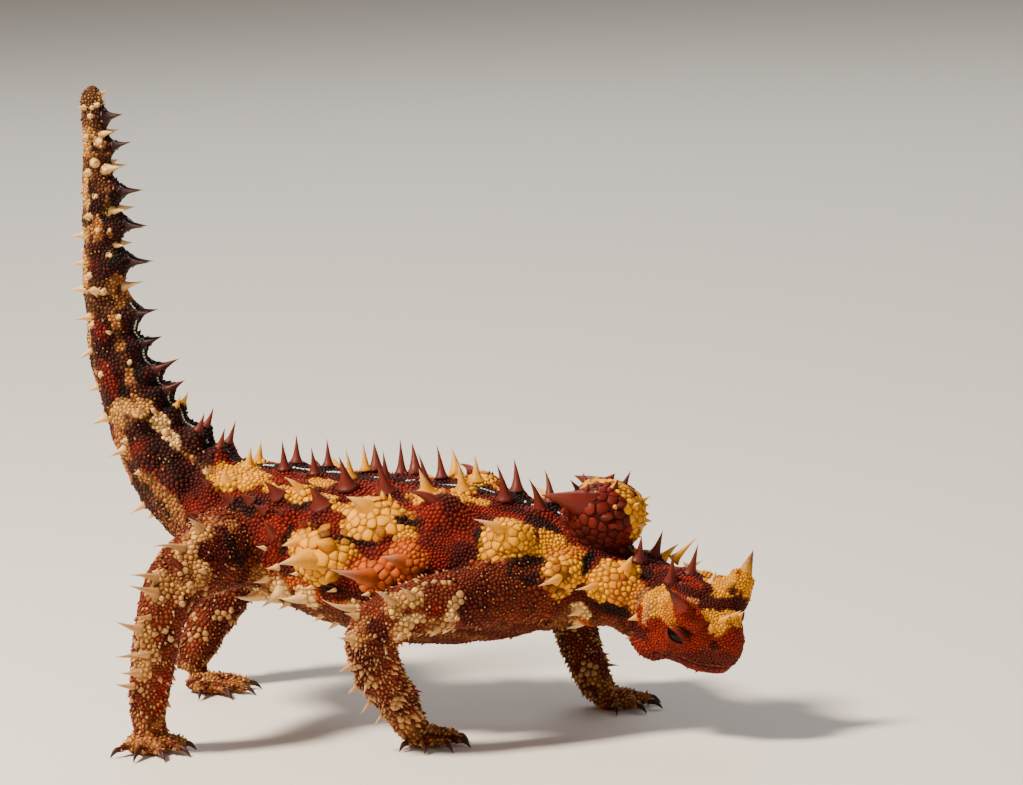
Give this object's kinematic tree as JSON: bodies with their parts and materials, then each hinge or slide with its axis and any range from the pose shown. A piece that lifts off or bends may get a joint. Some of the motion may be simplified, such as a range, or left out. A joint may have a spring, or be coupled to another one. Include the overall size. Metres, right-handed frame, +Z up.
{
  "type": "thorny devil",
  "caption": "Life-size still model of a thorny devil walking with its head low and tail held straight up, covered in thorns and knobbly scales.",
  "frame": {"origin": "bottom centre of the model's box, at the level its soles stand on", "axes": "+X from tail to head, +Y to the animal's left, +Z up"},
  "size_m": [0.1184, 0.0734, 0.1084],
  "materials": {
    "skin": "dry, beaded scales in ochre yellow, maroon brown and cream, with matt thorns",
    "horn": "ridged, dull keratin",
    "eye": "wet and dark"
  },
  "bodies": {
    "root": {"eye_left": "eye", "eye_right": "eye", "fore_left_foot": "skin", "fore_left_lower": "skin", "fore_left_upper": "skin", "fore_right_foot": "skin", "fore_right_lower": "skin", "fore_right_upper": "skin", "head": "skin", "hind_left_foot": "skin", "hind_left_lower": "skin", "hind_left_upper": "skin", "hind_right_foot": "skin", "hind_right_lower": "skin", "hind_right_upper": "skin", "horn_left": "horn", "horn_right": "horn", "nape_knob": "skin", "neck": "skin", "tail_base": "skin", "tail_middle": "skin", "tail_tip": "skin", "torso": "skin"}
  },
  "joints": []
}
